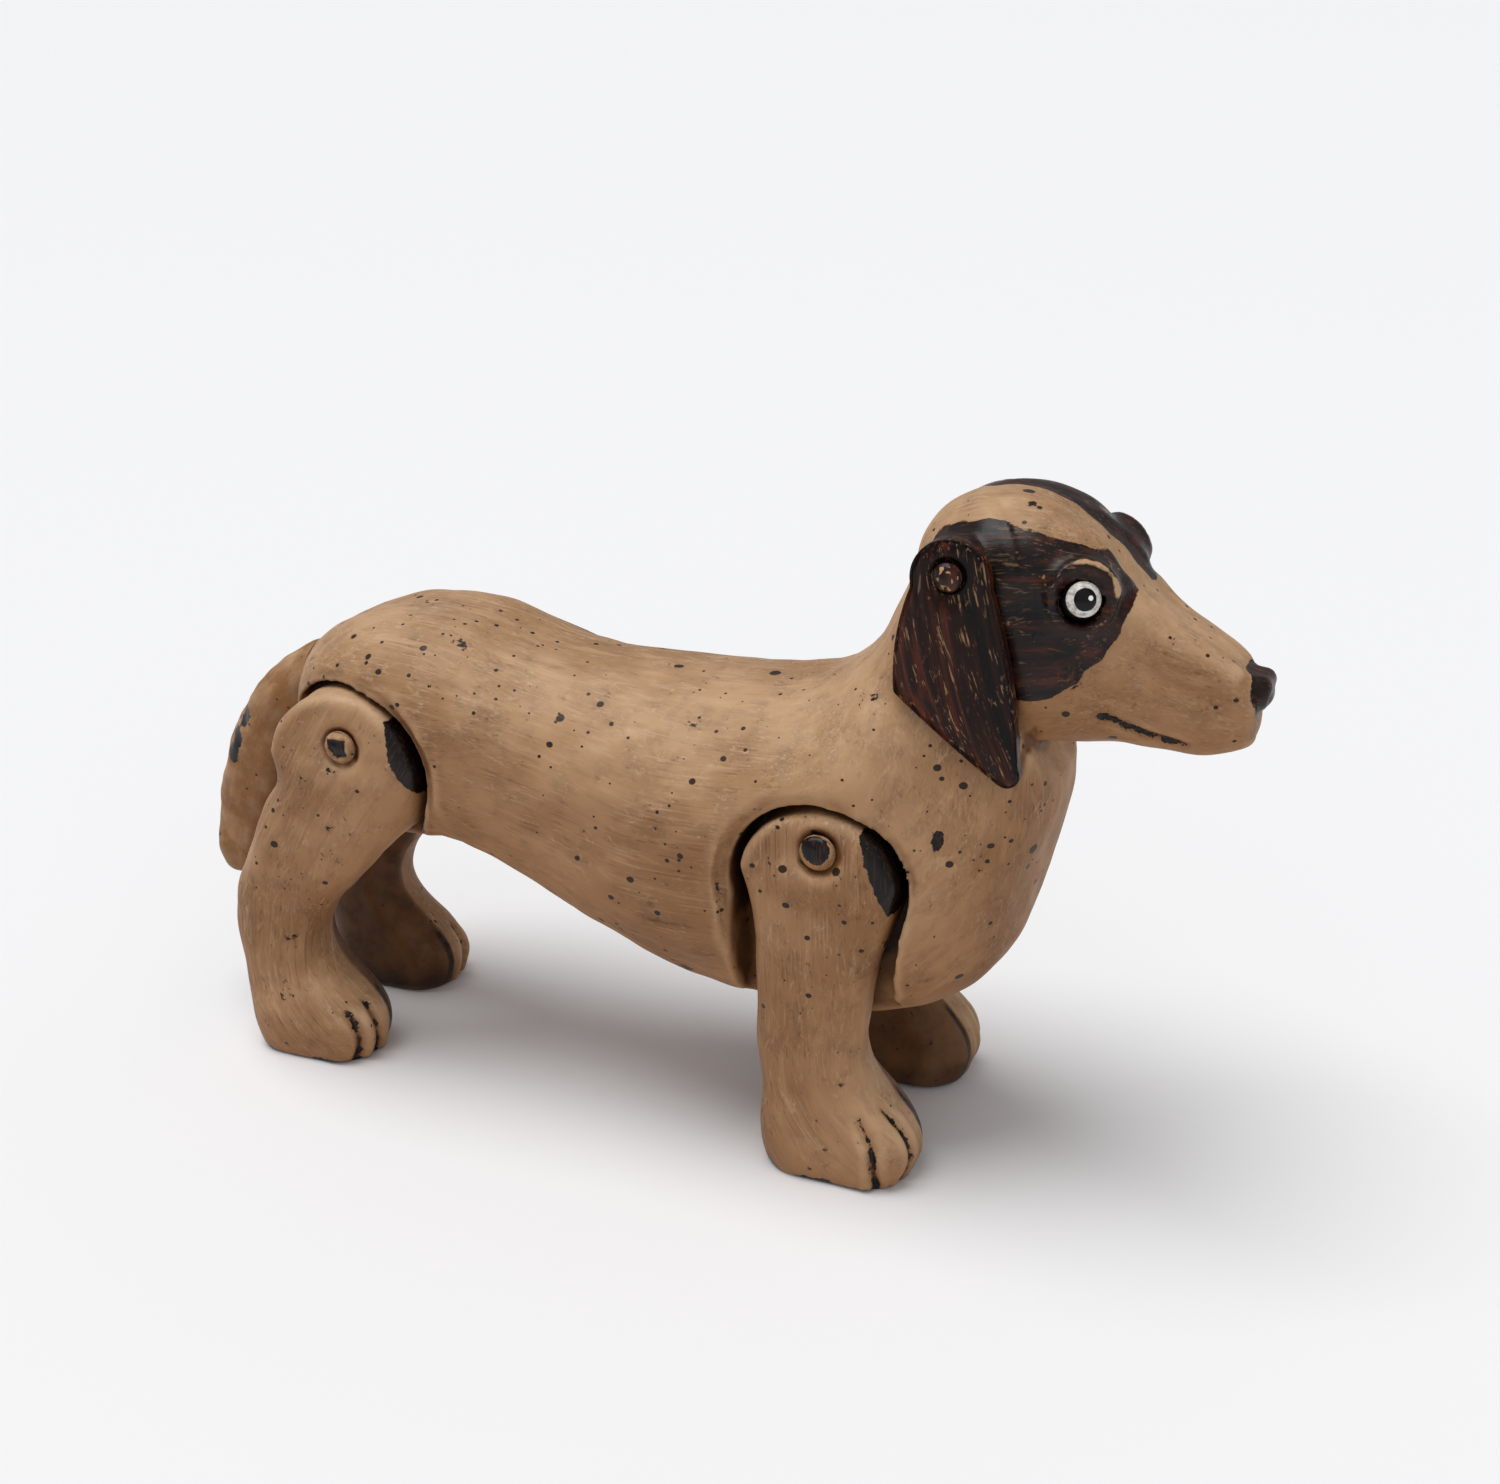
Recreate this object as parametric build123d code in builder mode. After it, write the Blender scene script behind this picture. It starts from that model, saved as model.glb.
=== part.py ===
"""Jointed dog figure: a carved block for the trunk and head, with pegged legs and ears,
a pegged tail and set-in eyes.  Millimetres, +Z up, +X to the nose, +Y to the dog's left."""
from build123d import *
import math
import os

os.makedirs("parts", exist_ok=True)

# Overall sizes of the figure.
overall_length = 264
overall_height = 157
overall_width = 74

# The carver's pattern: every outline below is drawn at this size and stretched to the sizes above.
pattern_length = 264
pattern_height = 157
pattern_width = 74

# Leg pegs: a headed dowel glued into a blind bore, on which the leg turns.
peg_radius = 3
peg_head_radius = 4
peg_head_height = 2.6
peg_head_rounding = 1.1
peg_depth_in_trunk = 12
bore_end_room = 0.8
turning_gap = 0.05
side_gap = 0.3
head_rest_gap = 0.15
counterbore_depth = 1.4
counterbore_room = 0.5

# Leg tops and the pockets they turn in.
leg_channel = 4.8
pocket_gap = 1.2
leg_swing = 5
swing_margin = 0.4
face_rounding = 2.4
toe_cut_width = 1.1
toe_cut_depth = 2.6

# Front legs: peg axis and round top on the pattern, pocket floor and outer face.
front_axis = (44.6, 82.6)
front_round = (43.7, 72.9)
front_round_radius = 18
front_floor_y = 20
front_face_y = 35.4
front_ledge_y = 33.6
front_flat_from = 33

# Hind legs.
hind_axis = (-75, 87.3)
hind_round = (-75.8, 79.8)
hind_round_radius = 19.8
hind_floor_y = 16
hind_face_y = 31
hind_ledge_y = 28.6
hind_flat_from = 57

# Ears: peg axis, seat plane, thickness and swing.
ear_axis = (68.4, 144)
ear_seat_y = 21.6
ear_thickness = 4.8
ear_edge_rounding = 1.3
ear_peg_radius = 2.2
ear_peg_head_radius = 3.1
ear_peg_head_height = 1.9
ear_peg_head_rounding = 0.8
ear_peg_depth = 9
ear_counterbore_depth = 0.9
ear_boss_radius = 6.5
ear_boss_root_y = 12
ear_swings = (-20, -8, 0, 8)
ear_swing_room = 0.8

# Eyes: glass beads in round sockets.
eye_radius = 4.4
eye_place = (94, 17.8, 139.9)
brow_place = (92, 12.6, 139)
brow_radius = 8.8

# Nose block.
nose_back = 123
nose_tip = 132
nose_low = 115.6
nose_high = 123.4
nose_half_width = 6
nose_rounding = 2.6

# Mouth line: cut into each side of the muzzle.
mouth_arc = [(100, 114.6), (106.8, 111.4), (115.5, 108.6)]
mouth_width = 1.1
mouth_inner_y = 8.5

# Tail seat and the dowel across it.
tail_seat_x = -98
tail_roundness = 0.9
tail_dowel_radius = 3
tail_dowel_z = 88
tail_dowel_in_trunk = 14
tail_dowel_in_tail = 7


def px(x):
    """Pattern length to figure length."""
    return x * overall_length / pattern_length


def py(y):
    """Pattern width to figure width."""
    return y * overall_width / pattern_width


def pz(z):
    """Pattern height to figure height."""
    return z * overall_height / pattern_height


def slice_plane(low, high):
    """Plane across a limb or trunk through its under side and upper side, both on the midline."""
    low_x, low_z = px(low[0]), pz(low[1])
    high_x, high_z = px(high[0]), pz(high[1])
    middle = ((low_x + high_x) / 2, 0, (low_z + high_z) / 2)
    return Plane(origin=middle, x_dir=(0, 1, 0), z_dir=(high_z - low_z, 0, low_x - high_x))


def slice_height(low, high):
    """Distance from the under side to the upper side of a slice."""
    return math.hypot(px(high[0] - low[0]), pz(high[1] - low[1]))


# Trunk and neck slices from the rump to the nape: under side, upper side, half width, roundness.
trunk_slices = [
    ((tail_seat_x, 77), (tail_seat_x, 101.5), 9.5, 0.95),
    ((-94, 67.3), (-94, 104.9), 18.5, 0.95),
    ((-85, 60.5), (-85, 110), 26, 0.9),
    ((-70, 58.5), (-70, 113.8), 30, 0.84),
    ((-55, 59.6), (-55, 113.8), 30.5, 0.82),
    ((-38, 54.3), (-38, 110), 30, 0.83),
    ((-20, 44.8), (-20, 107.1), 31, 0.84),
    ((0, 37.8), (0, 106.8), 33.5, 0.84),
    ((22, 34.2), (21, 108), 36, 0.84),
    ((44, 33.2), (35.6, 111.2), 37, 0.84),
    ((63.5, 37.6), (43.4, 116.2), 35, 0.87),
    ((77, 47.6), (48.1, 122), 30.4, 0.9),
    ((84, 61.4), (51.6, 129), 25.4, 0.92),
    ((88, 78.6), (54.5, 136.8), 21.6, 0.93),
    ((90.4, 96.6), (58.8, 145.8), 19, 0.93),
]

# Head slices from the nape to the muzzle: under side, upper side, half width, roundness.
head_slices = [
    ((56.5, 127), (56.3, 143), 8, 0.9),
    ((60.5, 118), (60, 151), 14.5, 0.88),
    ((68, 110), (68.5, 156), 19.5, 0.85),
    ((80, 104.5), (80.5, 157), 21.4, 0.8),
    ((90, 104.5), (91, 152.3), 20.8, 0.74),
    ((97.5, 105.6), (99.5, 144.8), 18, 0.68),
    ((104.5, 105.4), (107.5, 136.2), 14.6, 0.62),
    ((112.5, 104.8), (116, 130.4), 12, 0.6),
    ((122, 105.2), (125.6, 124.8), 10, 0.62),
    ((128.6, 107.8), (130, 121), 7.6, 0.75),
]

# Leg slices from the round top to the sole: height, back, front, inner side, outer side.
front_leg_slices = [
    (81, 28.4, 59.2, 19.4, 35),
    (69, 26.6, 60.8, 19.4, 35.6),
    (56, 27.4, 57.8, 19.4, 35.8),
    (44, 28.6, 55, 19.4, 35.3),
    (35, 28.9, 53.9, 19.4, 34.8),
    (29, 28.9, 54.4, 17.4, 34.8),
    (22, 28.9, 57.8, 13.6, 35),
    (15, 28.9, 63.5, 12.2, 35.6),
    (7, 28.9, 66.3, 11.6, 36),
    (0, 30.2, 64, 13, 34.6),
]
hind_leg_slices = [
    (85, -94.6, -57.2, 15.4, 30.8),
    (73, -97.5, -57.2, 15.4, 31.6),
    (62, -103, -64.6, 15.4, 31.8),
    (51, -108.3, -76, 13.5, 31),
    (41, -113, -86, 11.3, 29.4),
    (32, -114, -90, 10, 28.8),
    (23, -113, -86.5, 9.2, 29),
    (15, -112, -78.3, 8.8, 30.4),
    (7, -111, -75.3, 8.5, 31.2),
    (0, -108.8, -78, 10, 30),
]

# How round the slices are, as a share of their narrow side.
leg_roundness = 0.46

# Middle of the foot and half its toe spacing, for the two cuts that part three toes.
front_toes = (65.5, 24.2, 4.1, 15)
hind_toes = (-76, 19.6, 3.9, 14)

# Tail slices from the seat to the tip: inner edge, outer edge, half width.
tail_slices = [
    ((tail_seat_x, 77), (tail_seat_x, 101.5), 8.5),
    ((-101.5, 73), (-107.5, 95.7), 8.8),
    ((-105, 68), (-117.6, 86.2), 8.8),
    ((-108.5, 61.5), (-124.6, 74), 8.4),
    ((-112, 53), (-129.4, 59.4), 7.6),
    ((-116, 43.8), (-131.8, 46.4), 6.6),
    ((-120.5, 37), (-132, 39), 5.4),
    ((-124.5, 33.4), (-129.6, 34.2), 3),
]

# Ear outline as five arcs: round the top, down the back, along to the tip, round it and up.
ear_outline = [
    [(77, 142), (68.4, 151.6), (60.4, 141)],
    [(60.4, 141), (57.4, 128), (57.4, 117.5)],
    [(57.4, 117.5), (68.5, 108.6), (80.5, 100)],
    [(80.5, 100), (83.8, 99.9), (84.6, 104)],
    [(84.6, 104), (82.6, 121), (77, 142)],
]


def both_sides(place):
    """A pattern place on the dog's right and its mirror on the left."""
    x, y, z = px(place[0]), py(place[1]), pz(place[2])
    return [(x, -y, z), (x, y, z)]


def peg_plane(side, y):
    """Plane square to a peg at a distance y from the midline, facing outwards."""
    return Plane(origin=(0, side * y, 0), x_dir=(-side, 0, 0), z_dir=(0, side, 0))


def on_plane(side, x, z):
    """A pattern point as coordinates on a peg plane."""
    return (-side * px(x), pz(z))


def round_bar(side, place, y_from, y_to, radius, rounding=0):
    """A bar along a peg axis from one distance off the midline to another."""
    with BuildPart(mode=Mode.PRIVATE) as bar:
        with BuildSketch(peg_plane(side, y_from)):
            with Locations(on_plane(side, *place)):
                Circle(radius)
        extrude(amount=y_to - y_from)
        if rounding:
            fillet(bar.edges().sort_by(Axis.Y)[-1 if side > 0 else 0], rounding)
    return bar.part


def leg_pocket(leg_slices, axis, round_place, round_radius, side, floor_y, wall_gap, swings):
    """Room for a leg, from a flat floor out through the flank, at each end of its swing."""
    back = [(x_back - wall_gap, z) for z, x_back, x_front, y_in, y_out in leg_slices]
    front = [(x_front + wall_gap, z) for z, x_back, x_front, y_in, y_out in leg_slices]
    with BuildPart(mode=Mode.PRIVATE) as pocket:
        with BuildSketch(peg_plane(side, py(floor_y))):
            with Locations(on_plane(side, *round_place)):
                Circle(round_radius + wall_gap)
            with BuildLine():
                corners = [on_plane(side, *point) for point in back + front[::-1]]
                Polyline(*corners, close=True)
            make_face()
        extrude(amount=overall_width)
    turn = Axis((px(axis[0]), 0, pz(axis[1])), (0, 1, 0))
    return [pocket.part.rotate(turn, swing) for swing in swings]


def ear_shape(side, swing, y_from, thickness, grow):
    """The ear's outline turned about its peg and given a thickness."""
    with BuildPart(mode=Mode.PRIVATE) as slab:
        with BuildSketch(peg_plane(side, y_from)):
            with BuildLine():
                for run in ear_outline:
                    ThreePointArc(*[on_plane(side, *point) for point in run])
            make_face()
            if grow:
                offset(amount=grow)
        extrude(amount=thickness)
    turn = Axis((px(ear_axis[0]), 0, pz(ear_axis[1])), (0, 1, 0))
    return slab.part.rotate(turn, swing)


def mouth_cut(side):
    """A narrow curved cut in one side of the muzzle."""
    with BuildPart(mode=Mode.PRIVATE) as cut:
        with BuildSketch(peg_plane(side, py(mouth_inner_y))):
            with BuildLine():
                ThreePointArc(*[on_plane(side, *point) for point in mouth_arc])
                offset(amount=mouth_width / 2)
            make_face()
        extrude(amount=overall_width / 2)
    return cut.part


with BuildPart() as trunk:
    for slices in (trunk_slices, head_slices):
        with BuildPart(mode=Mode.PRIVATE) as block:
            for low, high, half_width, roundness in slices:
                with BuildSketch(slice_plane(low, high)):
                    tall = slice_height(low, high)
                    corner = roundness * min(py(half_width), tall / 2)
                    RectangleRounded(2 * py(half_width), tall, corner)
            loft()
        add(block.part)
    with BuildPart(mode=Mode.PRIVATE) as nose:
        with Locations((px(nose_back + nose_tip) / 2, 0, pz(nose_low + nose_high) / 2)):
            Box(px(nose_tip - nose_back), 2 * py(nose_half_width), pz(nose_high - nose_low))
        fillet(nose.edges(), nose_rounding)
    add(nose.part)
    with Locations(*both_sides(brow_place)):
        Sphere(brow_radius)
    with Locations(*both_sides(eye_place)):
        Sphere(eye_radius, mode=Mode.SUBTRACT)
    for side in (-1, 1):
        for leg_slices, axis, round_place, round_radius, floor_y, ledge_y in (
                (front_leg_slices, front_axis, front_round, front_round_radius,
                 front_floor_y, front_ledge_y),
                (hind_leg_slices, hind_axis, hind_round, hind_round_radius,
                 hind_floor_y, hind_ledge_y)):
            swung = leg_swing + swing_margin
            add(leg_pocket(leg_slices, axis, round_place, round_radius, side,
                           floor_y, pocket_gap, (-swung, 0, swung)), mode=Mode.SUBTRACT)
            add(leg_pocket(leg_slices, axis, round_place, round_radius, side,
                           ledge_y, leg_channel, (0,)), mode=Mode.SUBTRACT)
        for axis, floor_y in ((front_axis, front_floor_y), (hind_axis, hind_floor_y)):
            floor = py(floor_y)
            add(round_bar(side, axis, floor - peg_depth_in_trunk - bore_end_room, floor,
                          peg_radius), mode=Mode.SUBTRACT)
        seat = py(ear_seat_y)
        for swing in ear_swings:
            add(ear_shape(side, swing, seat, ear_thickness + ear_swing_room, ear_swing_room),
                mode=Mode.SUBTRACT)
        add(round_bar(side, ear_axis, py(ear_boss_root_y), seat, ear_boss_radius))
        add(round_bar(side, ear_axis, seat - ear_peg_depth - bore_end_room, seat,
                      ear_peg_radius), mode=Mode.SUBTRACT)
        add(mouth_cut(side), mode=Mode.SUBTRACT)
    with BuildSketch(Plane.YZ.offset(px(tail_seat_x))):
        with Locations((0, pz(tail_dowel_z))):
            Circle(tail_dowel_radius)
    extrude(amount=tail_dowel_in_trunk + bore_end_room, mode=Mode.SUBTRACT)
trunk.part.label = "trunk"
export_step(trunk.part, "parts/trunk.step")


def toe_cut(side, toes, offset_y):
    """One narrow cut between two toes, over their front and top."""
    tip_x, middle_y, spacing, top_z = toes
    with BuildPart(mode=Mode.PRIVATE) as cut:
        with Locations((px(tip_x), side * py(middle_y) + offset_y, 0)):
            Box(2 * toe_cut_depth, toe_cut_width, 2 * pz(top_z))
    return cut.part


def leg(name, leg_slices, side, floor_y, face_y, axis, round_place, round_radius, flat_from, toes):
    """A leg: a round flat-backed top on a shank that ends in a broad foot."""
    inner, face = py(floor_y) + side_gap, py(face_y)
    with BuildPart() as limb:
        with BuildSketch(peg_plane(side, inner)):
            with Locations(on_plane(side, *round_place)):
                Circle(round_radius)
        extrude(amount=face - inner)
        fillet(limb.edges().sort_by(Axis.Y)[-1 if side > 0 else 0], face_rounding)
        with BuildPart(mode=Mode.PRIVATE) as shank:
            for z, x_back, x_front, y_in, y_out in leg_slices:
                with BuildSketch(Plane.XY.offset(pz(z))):
                    long, wide = px(x_front - x_back), py(y_out - y_in)
                    middle = (px(x_back + x_front) / 2, side * py(y_in + y_out) / 2)
                    with Locations(middle):
                        RectangleRounded(long, wide, leg_roundness * min(long, wide))
            loft()
        add(shank.part)
        with Locations((px(round_place[0]), 0, pz(flat_from))):
            Box(overall_length, 2 * inner, overall_height,
                align=(Align.CENTER, Align.CENTER, Align.MIN), mode=Mode.SUBTRACT)
        for offset_y in (-toes[2], toes[2]):
            add(toe_cut(side, toes, offset_y), mode=Mode.SUBTRACT)
        add(round_bar(side, axis, 0, overall_width, peg_radius + turning_gap),
            mode=Mode.SUBTRACT)
        add(round_bar(side, axis, face - counterbore_depth, overall_width,
                      peg_head_radius + counterbore_room), mode=Mode.SUBTRACT)
    limb.part.label = name
    export_step(limb.part, "parts/" + name + ".step")


def headed_peg(name, side, axis, tip_y, rest_y, radius, head_radius, head_height, rounding):
    """A dowel with a low domed head."""
    with BuildPart() as peg:
        add(round_bar(side, axis, tip_y, rest_y, radius))
        add(round_bar(side, axis, rest_y, rest_y + head_height, head_radius, rounding))
    peg.part.label = name
    export_step(peg.part, "parts/" + name + ".step")


for side, hand in ((-1, "right"), (1, "left")):
    leg("front_leg_" + hand, front_leg_slices, side, front_floor_y, front_face_y,
        front_axis, front_round, front_round_radius, front_flat_from, front_toes)
    leg("hind_leg_" + hand, hind_leg_slices, side, hind_floor_y, hind_face_y,
        hind_axis, hind_round, hind_round_radius, hind_flat_from, hind_toes)
    for end, axis, floor_y, face_y in (("front", front_axis, front_floor_y, front_face_y),
                                       ("hind", hind_axis, hind_floor_y, hind_face_y)):
        headed_peg(end + "_leg_peg_" + hand, side, axis, py(floor_y) - peg_depth_in_trunk,
                   py(face_y) - counterbore_depth + head_rest_gap, peg_radius,
                   peg_head_radius, peg_head_height, peg_head_rounding)

    seat = py(ear_seat_y)
    ear_face = seat + side_gap + ear_thickness
    with BuildPart() as ear:
        add(ear_shape(side, 0, seat + side_gap, ear_thickness, 0))
        outer_face = ear.faces().sort_by(Axis.Y)[-1 if side > 0 else 0]
        fillet(outer_face.edges(), ear_edge_rounding)
        add(round_bar(side, ear_axis, 0, overall_width, ear_peg_radius + turning_gap),
            mode=Mode.SUBTRACT)
        add(round_bar(side, ear_axis, ear_face - ear_counterbore_depth, overall_width,
                      ear_peg_head_radius + counterbore_room), mode=Mode.SUBTRACT)
    ear.part.label = "ear_" + hand
    export_step(ear.part, "parts/ear_" + hand + ".step")
    headed_peg("ear_peg_" + hand, side, ear_axis, seat - ear_peg_depth,
               ear_face - ear_counterbore_depth + head_rest_gap, ear_peg_radius,
               ear_peg_head_radius, ear_peg_head_height, ear_peg_head_rounding)

    with BuildPart() as eye:
        with Locations(both_sides(eye_place)[0 if side < 0 else 1]):
            Sphere(eye_radius)
    eye.part.label = "eye_" + hand
    export_step(eye.part, "parts/eye_" + hand + ".step")

with BuildPart() as tail:
    for low, high, half_width in tail_slices:
        with BuildSketch(slice_plane(low, high)):
            tall = slice_height(low, high)
            corner = tail_roundness * min(py(half_width), tall / 2)
            RectangleRounded(2 * py(half_width), tall, corner)
    loft()
    with BuildSketch(Plane.YZ.offset(px(tail_seat_x))):
        with Locations((0, pz(tail_dowel_z))):
            Circle(tail_dowel_radius)
    extrude(amount=-tail_dowel_in_tail - bore_end_room, mode=Mode.SUBTRACT)
tail.part.label = "tail"
export_step(tail.part, "parts/tail.step")

with BuildPart() as tail_dowel:
    with BuildSketch(Plane.YZ.offset(px(tail_seat_x) - tail_dowel_in_tail)):
        with Locations((0, pz(tail_dowel_z))):
            Circle(tail_dowel_radius)
    extrude(amount=tail_dowel_in_tail + tail_dowel_in_trunk)
tail_dowel.part.label = "tail_dowel"
export_step(tail_dowel.part, "parts/tail_dowel.step")
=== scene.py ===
"""A jointed, painted wooden dog: carved trunk, pegged legs and ears, tail and bead eyes."""
import math

import bmesh
import bpy
import numpy as np
from mathutils import Matrix, Vector, kdtree
from mathutils.bvhtree import BVHTree


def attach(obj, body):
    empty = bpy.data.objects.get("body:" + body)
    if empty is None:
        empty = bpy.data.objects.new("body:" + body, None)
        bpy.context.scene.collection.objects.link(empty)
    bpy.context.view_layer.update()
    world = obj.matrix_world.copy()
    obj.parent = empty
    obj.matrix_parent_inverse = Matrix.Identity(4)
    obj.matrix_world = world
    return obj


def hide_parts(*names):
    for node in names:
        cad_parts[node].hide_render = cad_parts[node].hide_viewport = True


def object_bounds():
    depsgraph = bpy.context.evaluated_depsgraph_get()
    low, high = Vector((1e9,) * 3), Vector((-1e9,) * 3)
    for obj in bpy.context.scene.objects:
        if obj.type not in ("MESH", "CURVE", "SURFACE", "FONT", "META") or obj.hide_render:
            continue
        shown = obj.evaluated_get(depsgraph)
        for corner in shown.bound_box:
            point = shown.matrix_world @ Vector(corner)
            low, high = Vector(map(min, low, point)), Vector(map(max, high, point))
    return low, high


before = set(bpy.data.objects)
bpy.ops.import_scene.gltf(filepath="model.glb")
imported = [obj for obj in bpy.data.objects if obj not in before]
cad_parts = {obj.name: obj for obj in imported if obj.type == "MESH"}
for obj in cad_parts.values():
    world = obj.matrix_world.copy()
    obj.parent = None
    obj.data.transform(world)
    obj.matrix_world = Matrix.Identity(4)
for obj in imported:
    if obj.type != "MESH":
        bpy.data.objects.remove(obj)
cad_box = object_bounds()
MM = 0.001

# ---------------------------------------------------------------- mesh tools


def link(name, mesh):
    """A new object in the scene, at the origin."""
    obj = bpy.data.objects.new(name, mesh)
    bpy.context.scene.collection.objects.link(obj)
    return obj


def carving_blank(node, name, voxel):
    """A copy of a CAD node's solid, merged and recut in even small faces, ready for carving."""
    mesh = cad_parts[node].data.copy()
    shell = bmesh.new()
    shell.from_mesh(mesh)
    bmesh.ops.remove_doubles(shell, verts=shell.verts, dist=1e-6)
    shell.to_mesh(mesh)
    shell.free()
    mesh.materials.clear()
    obj = link(name, mesh)
    remesh = obj.modifiers.new("recut", "REMESH")
    remesh.mode = "VOXEL"
    remesh.voxel_size = voxel * MM
    remesh.use_smooth_shade = True
    finished = obj.evaluated_get(bpy.context.evaluated_depsgraph_get())
    solid = bpy.data.meshes.new_from_object(finished)
    obj.modifiers.clear()
    obj.data = solid
    solid.name = name
    return obj


def points(obj):
    """The mesh's points, in millimetres."""
    place = np.empty(len(obj.data.vertices) * 3)
    obj.data.vertices.foreach_get("co", place)
    return place.reshape(-1, 3) / MM


def set_points(obj, place):
    obj.data.vertices.foreach_set("co", (place * MM).ravel())
    obj.data.update()


def normals(obj):
    way = np.empty(len(obj.data.vertices) * 3)
    obj.data.vertices.foreach_get("normal", way)
    return way.reshape(-1, 3)


def edge_ends(obj):
    ends = np.empty(len(obj.data.edges) * 2, dtype=np.int64)
    obj.data.edges.foreach_get("vertices", ends)
    return ends.reshape(-1, 2)


def neighbour_mean(value, ends, count):
    """Mean of each point's neighbours."""
    total = np.empty_like(value)
    share = np.maximum(np.bincount(ends.ravel(), minlength=count), 1)
    for k in range(value.shape[1]):
        total[:, k] = (np.bincount(ends[:, 0], weights=value[ends[:, 1], k], minlength=count)
                       + np.bincount(ends[:, 1], weights=value[ends[:, 0], k], minlength=count))
    return total / share[:, None]


def smooth(obj, rounds, strength=0.5, where=None):
    """Relaxes the surface; where is a weight per point."""
    place, ends = points(obj), edge_ends(obj)
    weight = strength if where is None else strength * where[:, None]
    for _ in range(rounds):
        place = place + weight * (neighbour_mean(place, ends, len(place)) - place)
    set_points(obj, place)


def even_smooth(obj, rounds):
    """Relaxes without shrinking: a pull in, then a slightly larger push out."""
    place, ends = points(obj), edge_ends(obj)
    for _ in range(rounds):
        for strength in (0.55, -0.57):
            place = place + strength * (neighbour_mean(place, ends, len(place)) - place)
    set_points(obj, place)


def ripple(place, lengths, seed, waves=14):
    """A smooth uneven field from -1 to 1: crossed waves with the given lengths along x, y and z."""
    draw = np.random.default_rng(seed)
    field = np.zeros(len(place))
    for _ in range(waves):
        way = draw.normal(size=3)
        way = way / np.linalg.norm(way) * draw.uniform(0.6, 1.5) * 2 * math.pi / np.array(lengths)
        field += np.sin(place @ way + draw.uniform(0, 2 * math.pi))
    return field / math.sqrt(waves / 2) / 1.6


def bump(distance, width):
    """A soft hill, 1 at no distance and 0 past the width."""
    near = np.clip(1 - np.abs(distance) / width, 0, 1)
    return near * near * (3 - 2 * near)


def ramp(value, low, high):
    """0 below low, 1 above high, smooth between."""
    part = np.clip((value - low) / (high - low), 0, 1)
    return part * part * (3 - 2 * part)


def to_line(place, line, axes=(0, 2)):
    """Distance to a bent line drawn in two of the axes, and how far along it, 0 to 1."""
    flat = place[:, axes]
    best = np.full(len(flat), 1e9)
    along = np.zeros(len(flat))
    line = np.array(line, float)
    steps = np.linalg.norm(np.diff(line, axis=0), axis=1)
    run = np.concatenate([[0], np.cumsum(steps)]) / steps.sum()
    for k in range(len(line) - 1):
        span = line[k + 1] - line[k]
        part = np.clip((flat - line[k]) @ span / (span @ span), 0, 1)
        gap = np.linalg.norm(flat - line[k] - part[:, None] * span, axis=1)
        closer = gap < best
        best[closer] = gap[closer]
        along[closer] = (run[k] + part * (run[k + 1] - run[k]))[closer]
    return best, along


def inside_outline(place, outline, axes=(0, 2)):
    """Distance to a closed outline, positive inside it."""
    flat = place[:, axes]
    edge, _ = to_line(place, list(outline) + [outline[0]], axes)
    odd = np.zeros(len(flat), bool)
    corner = np.array(outline, float)
    for k in range(len(corner)):
        (ax, ay), (bx, by) = corner[k], corner[(k + 1) % len(corner)]
        if ay == by:
            continue
        crosses = (ay > flat[:, 1]) != (by > flat[:, 1])
        at = ax + (flat[:, 1] - ay) * (bx - ax) / (by - ay)
        odd ^= crosses & (flat[:, 0] < at)
    return np.where(odd, edge, -edge)


def round_outline(outline, rounds=3):
    """An outline with its corners cut, so that it runs in soft bends."""
    line = np.array(outline, float)
    for _ in range(rounds):
        after = np.roll(line, -1, axis=0)
        line = np.stack([0.75 * line + 0.25 * after, 0.25 * line + 0.75 * after], 1).reshape(-1, 2)
    return [tuple(p) for p in line]


def store(obj, name, value):
    """Keeps a number, or three numbers, per point of the mesh."""
    value = np.asarray(value, float)
    kind = "FLOAT" if value.ndim == 1 else "FLOAT_VECTOR"
    layer = obj.data.attributes.new(name, kind, "POINT")
    layer.data.foreach_set("value" if value.ndim == 1 else "vector", value.ravel())


def raise_by(obj, height):
    """Moves each point along its normal by a height in millimetres."""
    set_points(obj, points(obj) + normals(obj) * height[:, None])


def hollowness(obj, rounds=14):
    """How far each point lies in a hollow (positive) or on an edge (negative), in millimetres."""
    place, ends = points(obj), edge_ends(obj)
    soft = place
    for _ in range(rounds):
        soft = soft + 0.6 * (neighbour_mean(soft, ends, len(soft)) - soft)
    depth = ((soft - place) * normals(obj)).sum(1)[:, None]
    for _ in range(2):
        depth = depth + 0.5 * (neighbour_mean(depth, ends, len(depth)) - depth)
    return depth[:, 0]


# ---------------------------------------------------------------- node tools


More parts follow.
